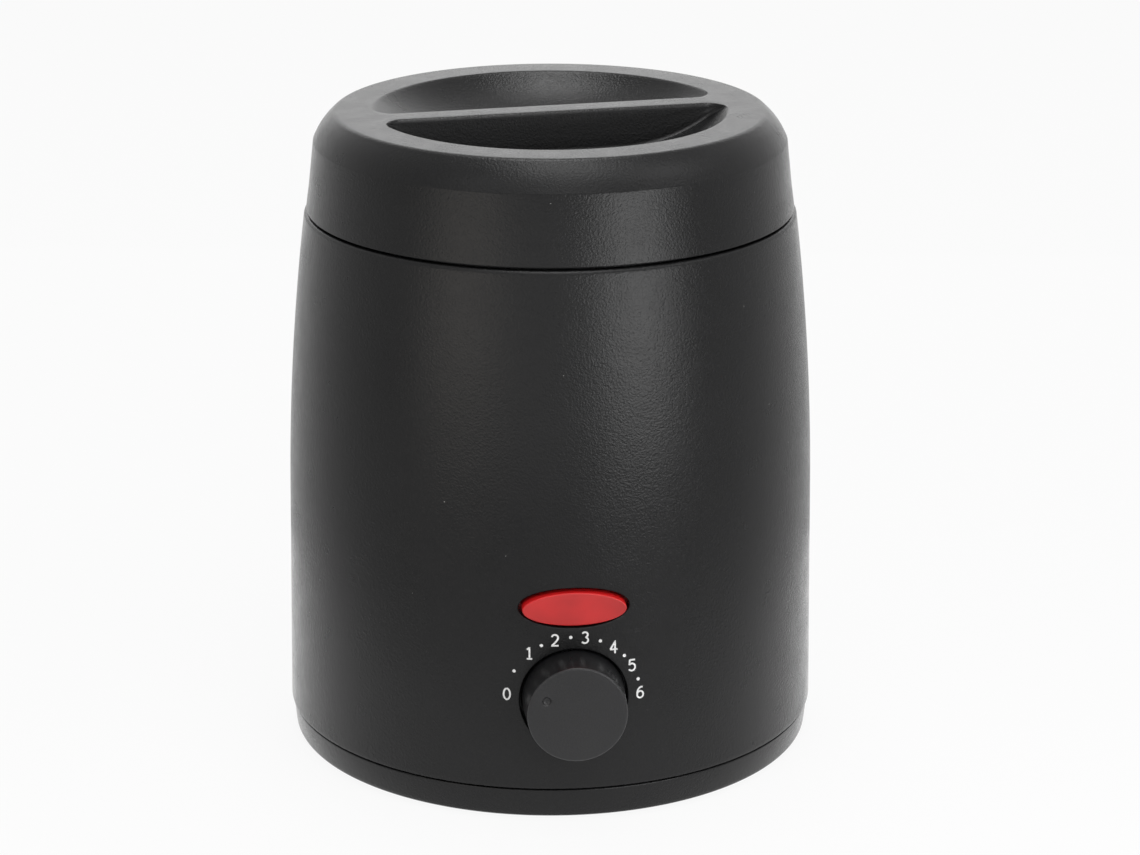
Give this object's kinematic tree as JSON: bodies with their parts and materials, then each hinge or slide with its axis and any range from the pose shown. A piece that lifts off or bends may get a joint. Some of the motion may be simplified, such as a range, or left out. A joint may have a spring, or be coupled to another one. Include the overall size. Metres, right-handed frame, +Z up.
{
  "type": "wax warmer pot",
  "caption": "Round barrel-shaped wax warmer: plastic casing with a heated metal well, lift-out pot with a bail, loose lid with finger wells, dial knob, oval lamp.",
  "frame": {"origin": "on the casing's axis, in the plane that the rubber feet stand on", "axes": "+Z up along the casing axis; the dial and the lamp face -Y; +X is to the right as seen from the front"},
  "size_m": [0.1226, 0.1389, 0.1478],
  "materials": {
    "charcoal": "fine spark texture, satin",
    "liner_black": "satin",
    "knob_black": "gloss side, fine-textured face",
    "lens_red": "translucent, satin face",
    "feet_rubber": "matte",
    "well_alloy": "spun, satin",
    "pot_alloy": "satin",
    "steel": "bright",
    "zinc_steel": "zinc plated",
    "heater_steel": "dull",
    "glass_felt": "needled felt",
    "brass": "plain",
    "copper": "plain copper",
    "ivory_plastic": "satin",
    "fuse_ceramic": "matte",
    "lamp_glass": "clear",
    "grip_black": "satin",
    "sleeve_brown": "silicone sleeve",
    "sleeve_blue": "silicone sleeve",
    "sleeve_white": "glass sleeve",
    "sleeve_green": "silicone sleeve",
    "sleeve_red": "silicone sleeve"
  },
  "bodies": {
    "housing": {"casing": "charcoal", "base_cover": "charcoal", "rubber_feet": "feet_rubber", "base_screws": "steel", "heating_well": "well_alloy", "well_screws": "steel", "well_stud": "steel", "stud_spacer": "steel", "heat_shield": "zinc_steel", "stud_nut": "steel", "earth_tag": "brass", "heater_band": "heater_steel", "heater_tabs": "brass", "band_screw": "steel", "band_nut": "steel", "insulation_wrap": "glass_felt", "wrap_strap": "steel", "thermostat_housing": "ivory_plastic", "thermostat_blades": "brass", "bush_nut": "steel", "thermostat_bracket": "zinc_steel", "bracket_screws": "steel", "sensing_bulb": "copper", "capillary_tube": "copper", "bulb_clip": "zinc_steel", "thermal_fuse": "fuse_ceramic", "fuse_clip": "zinc_steel", "clip_screws": "steel", "lamp_lens": "lens_red", "lamp_holder": "ivory_plastic", "neon_lamp": "lamp_glass", "lamp_resistor": "fuse_ceramic", "terminal_block": "ivory_plastic", "terminal_inserts": "brass", "terminal_screws": "brass", "block_screws": "steel", "cord_gland": "liner_black", "gland_nut": "liner_black", "push_on_terminals": "brass", "live_lead": "sleeve_brown", "neutral_lead": "sleeve_blue", "fuse_lead": "sleeve_white", "heater_lead": "sleeve_white", "earth_lead": "sleeve_green", "lamp_leads": "sleeve_red"},
    "lid": {"lid_shell": "charcoal", "lid_liner": "liner_black", "lid_screws": "steel"},
    "pot": {"wax_pot": "pot_alloy", "pot_lugs": "pot_alloy"},
    "bail": {"bail_handle": "steel", "bail_grip": "grip_black"},
    "dial": {"knob": "knob_black", "knob_spring": "steel", "thermostat_shaft": "steel"}
  },
  "joints": [
    {"name": "lid_lift", "type": "slide", "parent": "housing", "child": "lid", "axis": [0, 0, 1], "range_m": [0, 0.22]},
    {"name": "pot_lift", "type": "slide", "parent": "housing", "child": "pot", "axis": [0, 0, 1], "range_m": [0, 0.094]},
    {"name": "bail_swing", "type": "hinge", "parent": "pot", "child": "bail", "pos_m": [0, 0, 0.12795], "axis": [-1, 0, 0], "range_deg": [0, 180]},
    {"name": "dial_turn", "type": "hinge", "parent": "housing", "child": "dial", "pos_m": [0, -0.06, 0.0294], "axis": [0, 1, 0], "range_deg": [-22, 151]}
  ],
  "couplings": [
    {"joint": "pot_lift", "follows": "lid_lift", "ratio": 0.425},
    {"joint": "bail_swing", "follows": "lid_lift", "rad_per_m": 7.14}
  ]
}
